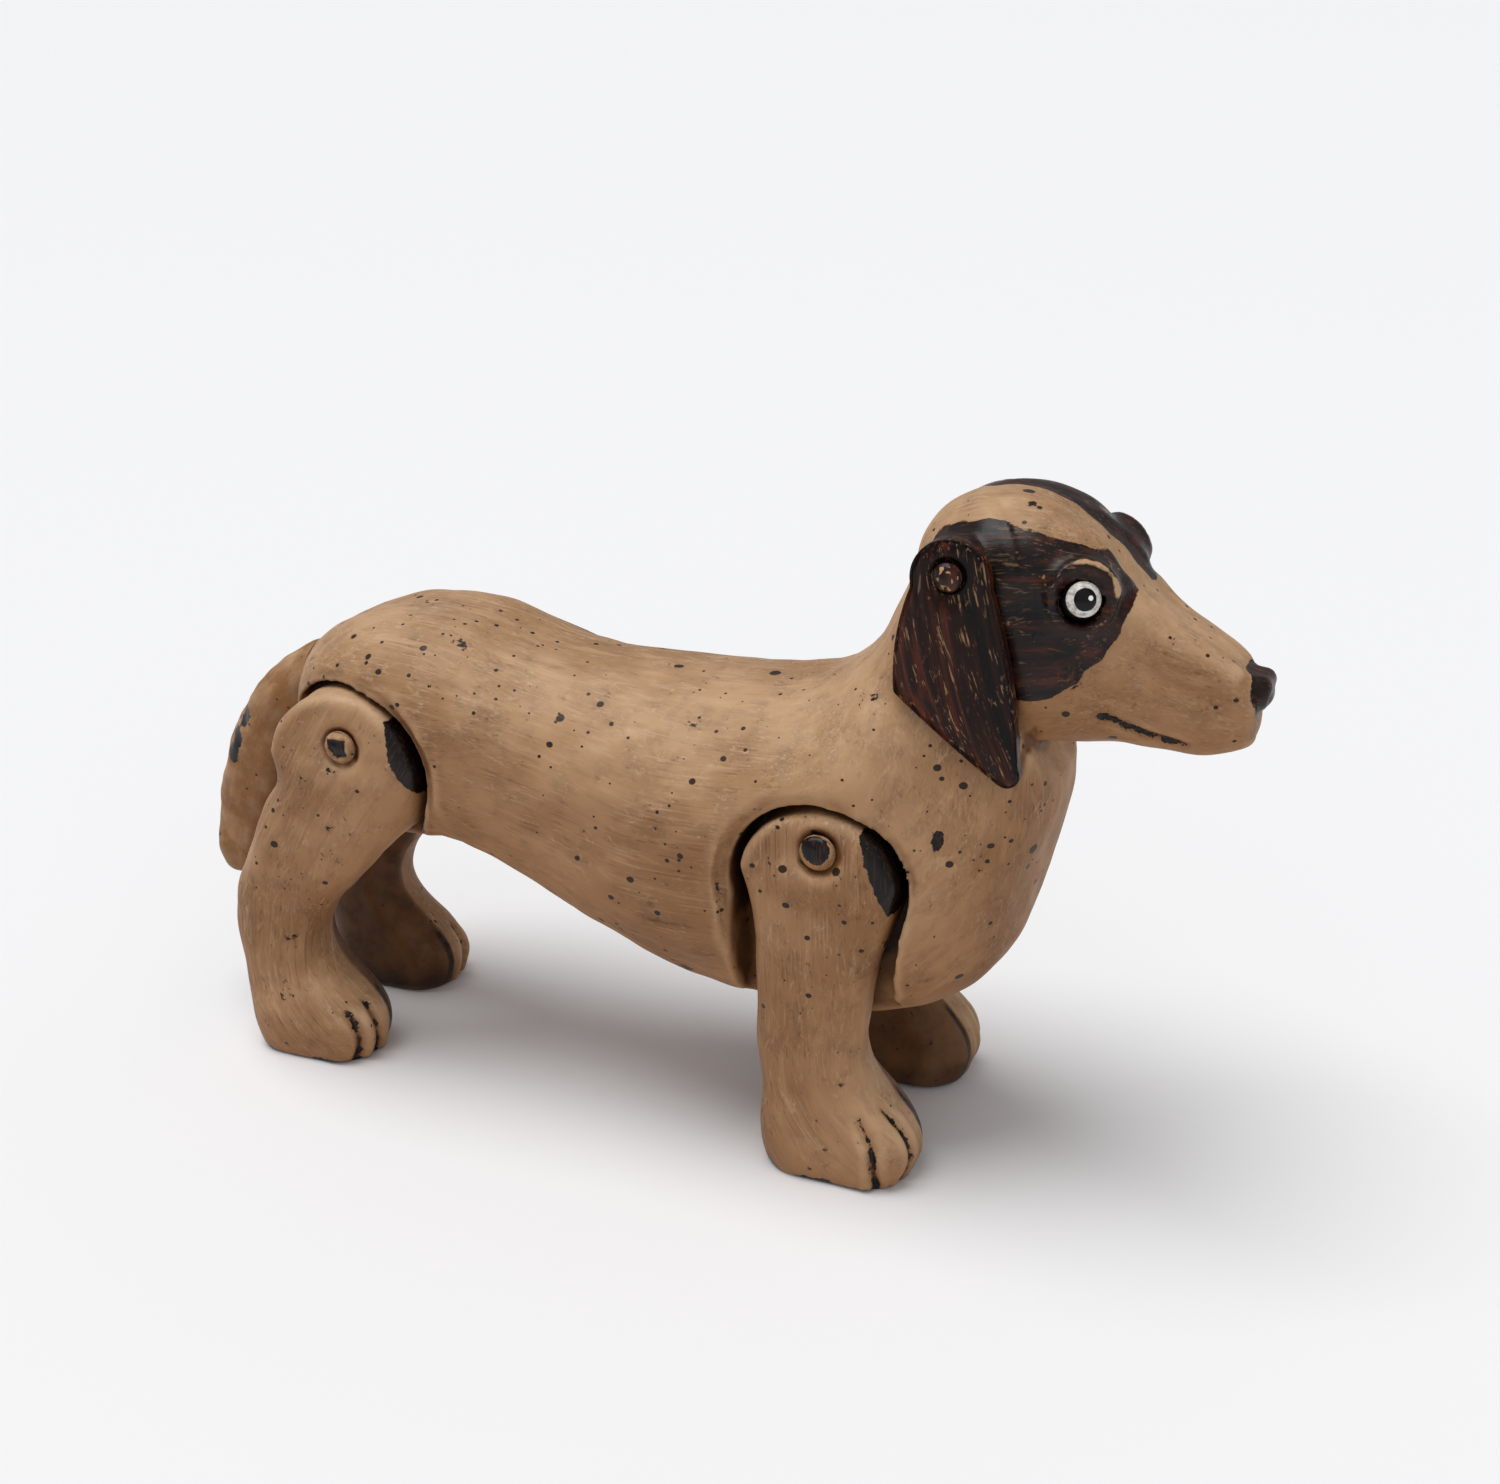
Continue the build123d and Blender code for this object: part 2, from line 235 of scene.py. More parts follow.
class Finish:
    """A node material, built up layer by layer."""

    def __init__(self, name):
        self.material = bpy.data.materials.new(name)
        self.material.use_nodes = True
        self.tree = self.material.node_tree
        self.tree.nodes.clear()
        self.shader = self.node("ShaderNodeBsdfPrincipled")
        output = self.node("ShaderNodeOutputMaterial")
        self.tree.links.new(self.shader.outputs[0], output.inputs[0])

    def node(self, kind, **settings):
        made = self.tree.nodes.new(kind)
        for key, value in settings.items():
            setattr(made, key, value)
        return made

    def feed(self, socket, value):
        if isinstance(value, bpy.types.NodeSocket):
            self.tree.links.new(value, socket)
        elif isinstance(value, (tuple, list)) and len(value) == 3 and socket.type == "RGBA":
            socket.default_value = (*value, 1)
        else:
            socket.default_value = value

    def math(self, operation, a, b=0.0, clamp=False):
        made = self.node("ShaderNodeMath", operation=operation, use_clamp=clamp)
        self.feed(made.inputs[0], a)
        self.feed(made.inputs[1], b)
        return made.outputs[0]

    def mapped(self, vector, scale=(1, 1, 1), turn=(0, 0, 0), shift=(0, 0, 0)):
        """Place turned first, then stretched and shifted."""
        if any(turn):
            turned = self.node("ShaderNodeMapping")
            self.feed(turned.inputs["Vector"], vector)
            self.feed(turned.inputs["Rotation"], tuple(math.radians(a) for a in turn))
            vector = turned.outputs[0]
        made = self.node("ShaderNodeMapping")
        self.feed(made.inputs["Vector"], vector)
        self.feed(made.inputs["Scale"], scale)
        self.feed(made.inputs["Location"], shift)
        return made.outputs[0]

    def noise(self, vector, scale, detail=3.0, rough=0.5, bend=0.0):
        made = self.node("ShaderNodeTexNoise")
        self.feed(made.inputs["Vector"], vector)
        self.feed(made.inputs["Scale"], scale)
        self.feed(made.inputs["Detail"], detail)
        self.feed(made.inputs["Roughness"], rough)
        self.feed(made.inputs["Distortion"], bend)
        return made.outputs["Fac"]

    def span(self, value, low, high, to_low=0.0, to_high=1.0):
        """The value's part between low and high, softly."""
        made = self.node("ShaderNodeMapRange", interpolation_type="SMOOTHSTEP")
        for socket, number in zip(made.inputs, (value, low, high, to_low, to_high)):
            self.feed(socket, number)
        return made.outputs[0]

    def mix(self, share, under, over):
        """One colour laid over another."""
        made = self.node("ShaderNodeMix", data_type="RGBA")
        self.feed(made.inputs[0], share)
        self.feed(made.inputs[6], under)
        self.feed(made.inputs[7], over)
        return made.outputs[2]

    def tint(self, share, colour, by):
        """A colour darkened by multiplying it with another; here it lays painted shade over the
        paint.
        """
        made = self.node("ShaderNodeMix", data_type="RGBA", blend_type="MULTIPLY")
        self.feed(made.inputs[0], share)
        self.feed(made.inputs[6], colour)
        self.feed(made.inputs[7], by)
        return made.outputs[2]

    def layer(self, name, vector=False):
        made = self.node("ShaderNodeAttribute", attribute_name=name)
        return made.outputs["Vector" if vector else "Fac"]

    def relief(self, height, strength, distance, under=None):
        made = self.node("ShaderNodeBump")
        self.feed(made.inputs["Strength"], strength)
        self.feed(made.inputs["Distance"], distance)
        self.feed(made.inputs["Height"], height)
        if under is not None:
            self.feed(made.inputs["Normal"], under)
        return made.outputs[0]

    def any_of(self, *shares):
        total = shares[0]
        for share in shares[1:]:
            total = self.math("MAXIMUM", total, share)
        return total


def hue(red, green, blue):
    """A colour given on the 0 to 255 scale, as linear light."""
    return tuple(((c / 255 + 0.055) / 1.055) ** 2.4 if c > 10 else c / 255 / 12.92
                 for c in (red, green, blue))


CREAM = hue(197, 158, 120)
CREAM_PALE = hue(222, 188, 152)
CREAM_DEEP = hue(166, 126, 88)
GLAZE = hue(112, 72, 37)
# Darkest glaze brown, also laid on as painted shade where surfaces close in.
DARK_GLAZE_AND_SHADE = hue(44, 22, 8)
GREY_DRAG = hue(142, 112, 90)
BROWN_BLACK = hue(22, 10, 8)
PATCH = hue(36, 16, 11)
PATCH_RED = hue(84, 36, 18)
OLD_WOOD = hue(11, 6, 5)
# Painted shade: the warm tint that darkens sides and undersides.
PAINTED_SHADE_TINT = (0.6, 0.48, 0.36)


def paint_places(f, seed):
    """The places and layers every paint coat reads."""
    here = f.node("ShaderNodeTexCoord").outputs["Object"]
    shift = (seed * 0.37, seed * 0.11, seed * 0.23)
    flow = f.layer("flow", vector=True)
    return {"here": here, "shift": shift, "flow": flow,
            "hollow": f.layer("hollow"), "shade_and_grime": f.layer("shade_and_grime"),
            "patch": f.layer("patch"), "chip": f.layer("chip"),
            "cloud": f.noise(f.mapped(here, shift=shift), 30, 4, 0.55),
            "mottle": f.noise(f.mapped(here, shift=shift), 150, 4, 0.6),
            "pores": f.noise(f.mapped(here, shift=shift), 950, 3, 0.6),
            "long": f.noise(f.mapped(flow, (16, 420, 420), shift=shift), 1, 4, 0.6, 0.3),
            "fine": f.noise(f.mapped(flow, (28, 1900, 1900), (0, 6, 6), shift), 1, 3, 0.6, 0.15),
            "cross": f.noise(f.mapped(flow, (30, 900, 900), (0, -19, -19), shift), 1, 3, 0.6, 0.3),
            "rake": f.noise(f.mapped(flow, (30, 760, 760), (0, 24, 24), shift), 1, 3, 0.6, 0.3)}


def flicked_spots(f, p):
    """Near-black specks flicked from a brush, in three sizes."""
    spots = None
    high = f.node("ShaderNodeSeparateXYZ")
    f.feed(high.inputs[0], p["here"])
    fewer_low = f.span(high.outputs[2], 0.025, 0.062, 0.45, 1.0)
    gather = f.math("MULTIPLY", f.span(p["cloud"], 0.36, 0.58, 0.62, 1.05), fewer_low)
    for scale, biggest, cut in ((92, 0.14, 0.34), (170, 0.19, 0.36), (330, 0.2, 0.42)):
        cell = f.node("ShaderNodeTexVoronoi")
        f.feed(cell.inputs["Vector"], f.mapped(p["here"], (1, 1, 1.2), (0, 0, 20), p["shift"]))
        f.feed(cell.inputs["Scale"], scale)
        draw = f.node("ShaderNodeSeparateColor")
        f.feed(draw.inputs[0], cell.outputs["Color"])
        radius = f.math("MULTIPLY", f.math("SUBTRACT", draw.outputs[0], cut), biggest / (1 - cut))
        radius = f.math("MULTIPLY", radius, gather)
        ragged = f.math("MULTIPLY", f.math("SUBTRACT", p["pores"], 0.5), 0.05)
        gap = f.math("SUBTRACT", f.math("ADD", cell.outputs["Distance"], ragged), radius)
        spot = f.span(gap, 0.012, -0.012)
        spots = spot if spots is None else f.math("MAXIMUM", spots, spot)
    return spots


def cream_coat(f, p):
    """Cream paint dragged on in crossing strokes, glazed brown where it is hollow, darkened by
    painted shade where shut in and on its sides and undersides.
    """
    def share(amount, field):
        return f.math("MULTIPLY", field, amount)

    colour = f.mix(f.span(p["cloud"], 0.36, 0.66), CREAM, CREAM_DEEP)
    colour = f.mix(share(0.42, f.span(p["mottle"], 0.42, 0.7)), colour, GREY_DRAG)
    colour = f.mix(share(0.28, f.span(p["long"], 0.5, 0.72)), colour, CREAM_PALE)
    colour = f.mix(share(0.3, f.span(p["long"], 0.46, 0.3)), colour, GREY_DRAG)
    open_field = f.span(p["mottle"], 0.35, 0.6)
    for name, low, amount in (("fine", 0.54, 0.36), ("cross", 0.58, 0.42), ("rake", 0.6, 0.38)):
        stroke = f.math("MULTIPLY", f.span(p[name], low, low + 0.12), open_field)
        colour = f.mix(share(amount, stroke), colour, CREAM_PALE)
    scratch = f.math("MULTIPLY", f.span(p["fine"], 0.42, 0.33), f.span(p["cloud"], 0.4, 0.6))
    colour = f.mix(share(0.5, scratch), colour, GLAZE)
    rub = f.math("MULTIPLY", f.span(p["rake"], 0.4, 0.3), f.span(p["mottle"], 0.5, 0.62))
    colour = f.mix(share(0.55, rub), colour, GLAZE)

    uneven = f.math("ADD", share(0.5, f.math("SUBTRACT", p["cloud"], 0.5)),
                    share(0.45, f.math("SUBTRACT", p["mottle"], 0.5)))
    # Brown glaze in the hollows, and painted shade with grime where surfaces close round a point;
    # darkest where both are deep.
    in_hollow = f.span(f.math("ADD", p["hollow"], share(0.5, uneven)), 0.04, 0.42)
    in_shade_and_grime = f.span(f.math("ADD", p["shade_and_grime"], uneven), 0.34, 0.86)
    colour = f.mix(share(0.85, f.any_of(in_hollow, in_shade_and_grime)), colour, GLAZE)
    worst = f.math("MAXIMUM", share(1.3, p["hollow"]), p["shade_and_grime"])
    colour = f.mix(share(0.9, f.span(f.math("ADD", worst, uneven), 0.8, 1.25)), colour, DARK_GLAZE_AND_SHADE)
    colour = f.mix(share(0.6, f.span(p["hollow"], -0.08, -0.4)), colour, CREAM_PALE)
    # Painted shade: sides and undersides darkened through a warm tint.
    return f.tint(f.span(f.layer("low"), 0.05, 0.72), colour, PAINTED_SHADE_TINT)


def dark_coat(f, p, streaks):
    """Dark brown paint over the cream, rubbed through on the ridges, combed in fine streaks,
    near-black in hollows and painted shade.
    """
    def share(amount, field):
        return f.math("MULTIPLY", field, amount)

    colour = f.mix(f.span(p["cloud"], 0.4, 0.62), PATCH, hue(26, 11, 8))
    colour = f.mix(share(0.6 + 0.3 * streaks, f.span(p["long"], 0.5, 0.66)), colour, PATCH_RED)
    colour = f.mix(f.span(p["long"], 0.46, 0.36), colour, OLD_WOOD)
    comb = f.math("MULTIPLY", f.span(p["fine"], 0.57, 0.66), f.span(p["mottle"], 0.44, 0.56))
    colour = f.mix(share(0.25 + 0.5 * streaks, comb), colour, CREAM_DEEP)
    cross = f.math("MULTIPLY", f.span(p["cross"], 0.62, 0.7), f.span(p["cloud"], 0.46, 0.56))
    colour = f.mix(share(0.35, cross), colour, CREAM_DEEP)
    uneven = f.math("MULTIPLY", f.math("ADD", p["mottle"], p["cloud"]), 0.6)
    ridge = f.math("SUBTRACT", f.math("MULTIPLY", p["hollow"], -1), uneven)
    colour = f.mix(share(0.95, f.span(ridge, -0.02, 0.1)), colour, CREAM)
    nicks = f.math("MULTIPLY", f.span(p["mottle"], 0.66, 0.72), f.span(p["pores"], 0.42, 0.55))
    colour = f.mix(share(0.8, nicks), colour, CREAM_DEEP)
    # Near-black in hollows and with painted shade where surfaces close round a point.
    dirt_and_shade = f.math("MAXIMUM", p["hollow"], f.math("SUBTRACT", p["shade_and_grime"], 0.45))
    return f.mix(f.span(dirt_and_shade, 0.1, 0.4), colour, OLD_WOOD)


def painted_wood(name, seed, dark=0.0, stain_and_shade=0.0):
    """Cream paint over dark wood with its dark patches, specks, chips and brush relief, darkened by
    painted shade.
    """
    f = Finish(name)
    p = paint_places(f, seed)
    # Extra darkening, stain and painted shade, then an orange-brown soaked stain.
    if stain_and_shade:
        p["shade_and_grime"] = f.math("ADD", p["shade_and_grime"], stain_and_shade)
    cream = cream_coat(f, p)
    if stain_and_shade:
        soaked = f.math("MULTIPLY", f.span(p["mottle"], 0.4, 0.62), 0.6)
        cream = f.mix(soaked, cream, hue(142, 92, 40))
    spots = flicked_spots(f, p)
    cream = f.mix(f.math("MULTIPLY", spots, 0.94), cream, BROWN_BLACK)
    ragged = f.math("ADD", f.math("MULTIPLY", f.math("SUBTRACT", p["mottle"], 0.5), 2.6),
                    f.math("MULTIPLY", f.math("SUBTRACT", p["fine"], 0.5), 1.6))
    on_patch = f.span(f.math("ADD", p["patch"], f.math("MULTIPLY", ragged, 0.5)), -0.1, 0.1)
    colour = f.mix(on_patch, cream, dark_coat(f, p, dark))
    crumble = f.math("MULTIPLY", f.math("SUBTRACT", f.noise(p["here"], 430, 4, 0.65), 0.5), 2.6)
    broken = f.math("ADD", crumble, f.math("MULTIPLY", ragged, 0.3))
    off = f.span(f.math("ADD", p["chip"], broken), -0.08, 0.08)
    bare = f.mix(f.span(p["fine"], 0.5, 0.66), OLD_WOOD, hue(54, 30, 20))
    colour = f.mix(off, colour, bare)
    f.feed(f.shader.inputs["Base Color"], colour)

    dull = f.math("ADD", 0.55, f.math("MULTIPLY", f.math("SUBTRACT", p["mottle"], 0.5), 0.4))
    dull = f.math("SUBTRACT", dull, f.math("MULTIPLY", on_patch, 0.2))
    dull = f.math("SUBTRACT", dull, f.math("MULTIPLY", off, 0.22))
    f.feed(f.shader.inputs["Roughness"], f.math("SUBTRACT", dull, f.math("MULTIPLY", spots, 0.12)))
    f.shader.inputs["Specular IOR Level"].default_value = 0.16 if dark else 0.26

    height = f.math("ADD", f.math("MULTIPLY", p["long"], 0.5), f.math("MULTIPLY", p["fine"], 0.4))
    height = f.math("ADD", height, f.math("MULTIPLY", p["cross"], 0.25))
    height = f.math("ADD", height, f.math("MULTIPLY", p["rake"], 0.25))
    brushed = f.relief(height, 0.5, 0.0003)
    layered = f.math("ADD", f.math("MULTIPLY", on_patch, 0.45), f.math("MULTIPLY", spots, 0.3))
    raised = f.math("SUBTRACT", layered, off)
    f.feed(f.shader.inputs["Normal"], f.relief(raised, 0.75, 0.0003, brushed))
    return f.material


# ---------------------------------------------------------------- flow, grime and painted shade

SPINE = [(-98, 89), (-70, 86), (-38, 81.5), (0, 71), (22, 70), (40, 71.5), (54, 77), (63, 86),
         (68, 96), (71, 108), (77, 121), (100, 125), (132, 117)]


def brush_flow(place, spine, blend=9):
    """Distance along a bent middle line, then sideways and above it, as a brush follows it."""
    line = np.array(spine, float)
    run = np.concatenate([[0], np.cumsum(np.linalg.norm(np.diff(line, axis=0), axis=1))])
    at = np.arange(0, run[-1] + 3, 3.0)
    beads = np.stack([np.interp(at, run, line[:, 0]), np.interp(at, run, line[:, 1])], 1)
    way = np.gradient(beads, axis=0)
    way = way / np.linalg.norm(way, axis=1)[:, None]
    along, above = np.empty(len(place)), np.empty(len(place))
    for start in range(0, len(place), 20000):
        part = slice(start, start + 20000)
        gap = place[part][:, (0, 2)][:, None] - beads[None]
        far = (gap ** 2).sum(2)
        share = np.exp(-(far - far.min(1, keepdims=True)) / (2 * blend ** 2))
        share /= share.sum(1, keepdims=True)
        along[part] = share @ at
        above[part] = (share * (gap[:, :, 1] * way[:, 0] - gap[:, :, 0] * way[:, 1])).sum(1)
    return np.stack([along, place[:, 1], above], 1) * MM


def even_fan(count):
    """Directions spread evenly over a ball."""
    turn = math.pi * (3 - math.sqrt(5))
    rays = []
    for k in range(count):
        z = 1 - 2 * (k + 0.5) / count
        flat = math.sqrt(1 - z * z)
        rays.append(Vector((flat * math.cos(turn * k), flat * math.sin(turn * k), z)))
    return rays


def crowding(obj, tree, reach=15, cell=1.3):
    """How shut in each point is by the surfaces round it, from 0 in the open to 1; the paint
    darkens with it as painted shade and grime.
    """
    place, way = points(obj), normals(obj)
    _, first, group = np.unique(np.floor(place / cell), axis=0,
                                return_index=True, return_inverse=True)
    closed = np.empty(len(first))
    for slot, vertex in enumerate(first):
        up = Vector(way[vertex])
        start = (Vector(place[vertex]) + 0.5 * up) * MM
        shut = total = 0.0
        for ray in FAN:
            lift = ray.dot(up)
            if lift > 0.12:
                total += lift
                gap = tree.ray_cast(start, ray, reach * MM)[3]
                if gap is not None:
                    shut += lift * (1 - 0.6 * gap / (reach * MM))
        closed[slot] = shut / total
    value = closed[group.ravel()][:, None]
    ends = edge_ends(obj)
    for _ in range(4):
        value = value + 0.5 * (neighbour_mean(value, ends, len(value)) - value)
    return value[:, 0]


FAN = even_fan(30)
PIECES = []


def carved(node, body, slot, voxel, spine, material, rounds=5):
    """Starts a carved piece that takes a CAD node's place and rides its body."""
    obj = carving_blank(node, node + "_carved", voxel)
    even_smooth(obj, 4)
    smooth(obj, rounds)
    PIECES.append({"obj": obj, "node": node, "body": body, "slot": slot, "spine": spine,
                   "material": material, "patch": -6.0, "chip": -6.0, "stain_and_shade": 0.0})
    return PIECES[-1]


def complete(piece, tree):
    """Keeps the piece inside the part's box, stores what the paint reads, hands it over."""
    obj = piece["obj"]
    low_corner, high_corner = (np.array(corner) / MM for corner in cad_box)
    set_points(obj, np.clip(points(obj), low_corner, high_corner))
    count = len(obj.data.vertices)
    store(obj, "flow", brush_flow(points(obj), piece["spine"]))
    store(obj, "hollow", hollowness(obj))
    # How far each point faces down or sideways, for the painted shade on sides and undersides.
    low, ends = 0.5 - 0.5 * normals(obj)[:, 2:], edge_ends(obj)
    for _ in range(6):
        low = low + 0.5 * (neighbour_mean(low, ends, count) - low)
    store(obj, "low", low[:, 0])
    # Painted shade with grime: the paint darkens where a point is shut in, plus the piece's own
    # stain and painted shade.
    store(obj, "shade_and_grime", crowding(obj, tree) + piece["stain_and_shade"])
    for name in ("patch", "chip"):
        store(obj, name, np.broadcast_to(piece[name], count).astype(float))
    obj.data.materials.append(piece["material"])
    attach(obj, piece["body"])
    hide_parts(piece["node"])
    print(piece["node"], len(obj.data.vertices), len(obj.data.polygons))


# ---------------------------------------------------------------- trunk and head

SIDES = (("right", -1), ("left", 1))
EYE = np.array([94, 17.8, 139.9])
BEAD = 4.4
EYE_LOOK = np.array([0.42, 0.86, 0.28]) / np.linalg.norm([0.42, 0.86, 0.28])
EAR_AXIS = (68.4, 144)
# Side views of the dark patches round the eyes: over the forehead, down the cheek and back.
NEAR_PATCH = round_outline([
    (60, 139), (60.6, 146), (62.4, 149.6), (68.2, 152.6), (75, 153.5), (81.8, 152.7),
    (91.1, 149.8), (96.5, 148.6), (101, 146.5), (103.6, 143), (103.9, 138.5),
    (102.4, 133.5), (99.6, 127.8), (94.1, 122.5), (88.1, 117.8), (85, 117.4),
    (82.3, 118.6), (74, 117.5), (66, 124), (60, 131)])
FAR_PATCH = round_outline([
    (60, 139), (60.6, 148), (66, 155), (74, 158.5), (82, 157.2), (87.1, 155), (92.5, 151.6),
    (97, 149), (101.5, 146), (104.5, 142), (104.5, 136.5), (101, 130.5), (98.4, 126),
    (94.1, 122.5), (88.1, 117.8), (82.3, 118.6), (74, 117.5), (66, 124), (60, 131)])
MOUTH = [(99.5, 114.9), (104, 112.9), (109.1, 110.3), (116, 108.2)]
MUZZLE_RIDGE = [(102, 138.5), (108.1, 133.5), (113.4, 130.2), (119.3, 127.2), (125.3, 124)]
BROW_LINE = [(88, 142.5), (89.9, 145.2), (93.5, 146.2), (97.6, 144.8), (100.6, 141.6)]
NECK_CREASE = [(87, 113), (84, 104), (82.5, 96), (80, 86), (75, 74), (67, 64)]
NECK_SEAT = [(49, 130), (54, 119), (64, 108), (80, 96)]
# Middle, radius and depth from the centre plane of each leg's round pocket.
POCKETS = (((43.7, 72.9), 23.6, 34.6), ((-75.8, 79.8), 25.4, 29.6))
NOSE_FRONT, LIP_SPLIT_LOW, LIP_SPLIT_HIGH, LIP_SPLIT_DEPTH = 124, 106, 115.4, 0.8
NOSTRIL, NOSTRIL_SPREAD = (131.2, 0, 118.2), 3.1
NOSE_MIDDLE, NOSE_REACH = (130, 0, 119.3), 6.4
CHEST_CHIP = (68.6, -26.5, 86.2)


def eye_gaps(place, side):
    """Distance out from the middle of an eye, along where it looks and across."""
    middle, look = EYE * (1, side, 1), EYE_LOOK * (1, side, 1)
    off = place - middle
    along = off @ look
    return along, np.linalg.norm(off - along[:, None] * look, axis=1)


trunk_piece = carved("trunk", "body", "painted_wood", 0.78, SPINE,
                     painted_wood("cream_paint_trunk", 1))
trunk = trunk_piece["obj"]
place = points(trunk)
seat_step, _ = to_line(place, NECK_SEAT)
smooth(trunk, 90, 0.6, bump(seat_step, 8) * ramp(np.abs(place[:, 1]), 10, 14))
place = points(trunk)
away = np.abs(place[:, 1])
in_pocket = np.zeros(len(place))
for middle, radius, floor in POCKETS:
    near = np.hypot(place[:, 0] - middle[0], place[:, 2] - middle[1])
    in_pocket = np.maximum(in_pocket, ramp(radius - near, -1, 2) * ramp(floor - away, -1, 1))
open_skin = 1 - in_pocket
lift = 0.42 * ripple(place, (30, 26, 26), 3) + 0.16 * ripple(place, (11, 9, 9), 5)
for _, side in SIDES:
    along, across = eye_gaps(place, side)
    near_eye = ramp(along, -3.5, -0.5)
    lift += near_eye * (1.05 * bump(across - 6.3, 1.9) - 0.9 * bump(across - 4.7, 1.1))
    own = ramp(side * place[:, 1], 6, 9)
    brow, _ = to_line(place, BROW_LINE)
    lift += own * 0.9 * bump(brow, 3.4)
    temple = np.hypot((place[:, 0] - 84) / 1.3, place[:, 2] - 139)
    lift -= own * 1.1 * bump(temple, 7.5)
    cheek = np.hypot((place[:, 0] - 88) / 1.5, place[:, 2] - 124)
    lift += own * 0.7 * bump(cheek, 9)
    ridge, run = to_line(place, MUZZLE_RIDGE)
    on_ridge = ramp(away, 3.5, 6) * ramp(run, 0, 0.12)
    lift += 0.5 * on_ridge * (side > 0) * bump(ridge, 2.6)
    under, _ = to_line(place, [(x - 1, z - 6.5) for x, z in MUZZLE_RIDGE])
    lift -= 0.8 * own * bump(under, 5)
    ear_rim = np.hypot(place[:, 0] - EAR_AXIS[0], place[:, 2] - EAR_AXIS[1])
    lift -= 0.5 * own * bump(ear_rim - 12.6, 0.9) * (place[:, 2] > 143)
mouth, run = to_line(place, MOUTH)
slit = bump(mouth, 1.2) * ramp(away, 7.5, 9) * ramp(run, 0.0, 0.02)
lift -= 1.3 * slit
split = bump(place[:, 1], 0.9) * (place[:, 0] > NOSE_FRONT) \
    * (place[:, 2] < LIP_SPLIT_HIGH) * (place[:, 2] > LIP_SPLIT_LOW)
lift -= LIP_SPLIT_DEPTH * split
from_nostril = (place - NOSTRIL) * (1, 1, 0.8) - np.sign(place[:, 1:2]) * (0, NOSTRIL_SPREAD, 0)
nostril = np.linalg.norm(from_nostril, axis=1)
pit = bump(nostril, 2.0)
lift -= 1.2 * pit
crease, _ = to_line(place, NECK_CREASE)
wander = crease + 0.6 * ripple(place, (9, 9, 9), 21)
lift -= 0.4 * bump(wander, 1.1) * ramp(away, 12, 16)
raise_by(trunk, lift * open_skin)
smooth(trunk, 1, 0.4)

place = points(trunk)
near_edge = inside_outline(place, NEAR_PATCH)
far_edge = inside_outline(place, FAR_PATCH)
near_patch = np.minimum(near_edge, -place[:, 1] - 8)
far_patch = np.minimum(far_edge, place[:, 1] - 1.6 - 0.8 * ripple(place, (14, 14, 14), 8))
nose_paint = NOSE_REACH - np.linalg.norm((place - NOSE_MIDDLE) * (1, 0.8, 1.05), axis=1)
trunk_piece["patch"] = np.maximum.reduce([near_patch, far_patch, nose_paint]) \
    + 0.5 * ripple(place, (7, 7, 7), 9)
chest_chip = 1.3 - np.linalg.norm((place - CHEST_CHIP) * (1, 0.3, 0.6), axis=1)
edge_chips = 0.55 * ripple(place, (12, 12, 12), 31) - 1.15
mouth, run = to_line(place, MOUTH)
lips = np.where(np.abs(place[:, 1]) > 8, 0.8 - 0.35 * run - mouth, -3)
trunk_piece["chip"] = np.maximum.reduce([chest_chip, edge_chips, lips])
# Added darkening: dark paint in the mouth slit, lip split and nostrils; brown stain and painted
# shade in the leg pockets; the neck crease darkened, part glaze line and part painted shade; a
# darker patch along the middle of the flank; painted shade low on the belly.
trunk_piece["stain_and_shade"] = (0.9 * slit + 0.5 * split + 0.8 * pit + 0.5 * in_pocket
                        + 0.45 * bump(wander, 1.3) * ramp(away, 12, 16)
                        + 0.3 * bump(np.hypot((place[:, 0] + 30) / 2.4, place[:, 2] - 87), 13)
                        + 0.22 * ramp(place[:, 2], 66, 50) * ramp(place[:, 0], -60, 20))

# ---------------------------------------------------------------- legs

FRONT_SPINE = [(45, 97), (44, 60), (43, 25), (52, 10), (64, 4)]
HIND_SPINE = [(-58, 96), (-77, 68), (-89, 46), (-93, 22), (-84, 8), (-72, 4)]
# Side toe and front toes: where the cut starts along the foot, then its line down the toe.
# Chip: start and end angle, middle angle, then distance from the hip and how fast it opens.
LEGS = {
    "front_leg": {"spine": FRONT_SPINE, "axis": (44.6, 82.6), "round": (43.7, 72.9), "radius": 18,
                  "inner": 20.0, "tuck": (78, 92, 0.8),
                  "side_toe": (31.4, [(54.3, 19.5), (58.4, 12), (59.6, -2)]),
                  "front_toes": (54, [[(29.6, 21.5), (28.8, 13), (27.8, -2)],
                                      [(20.2, 21), (20.1, 13), (20.4, -2)]]),
                  "belly_line": 24.0,
                  "chip": (-12, 56, 20, 13.9, 4.0)},
    "hind_leg": {"spine": HIND_SPINE, "axis": (-75, 87.3), "round": (-75.8, 79.8), "radius": 19.8,
                 "inner": 16.0, "tuck": (84, 100, 0.8),
                 "side_toe": None,
                 "front_toes": (-88, [[(28.2, 16), (27.8, 9.8), (26.6, -2)],
                                      [(23, 17), (22.6, 10), (21.4, -2)],
                                      [(15.8, 17), (15.8, 10), (16.2, -2)]]),
                 "belly_line": 20.0,
                 "chip": (-12, 50, 20, 15.2, 4.2)}}


FLAT_FROM = 58


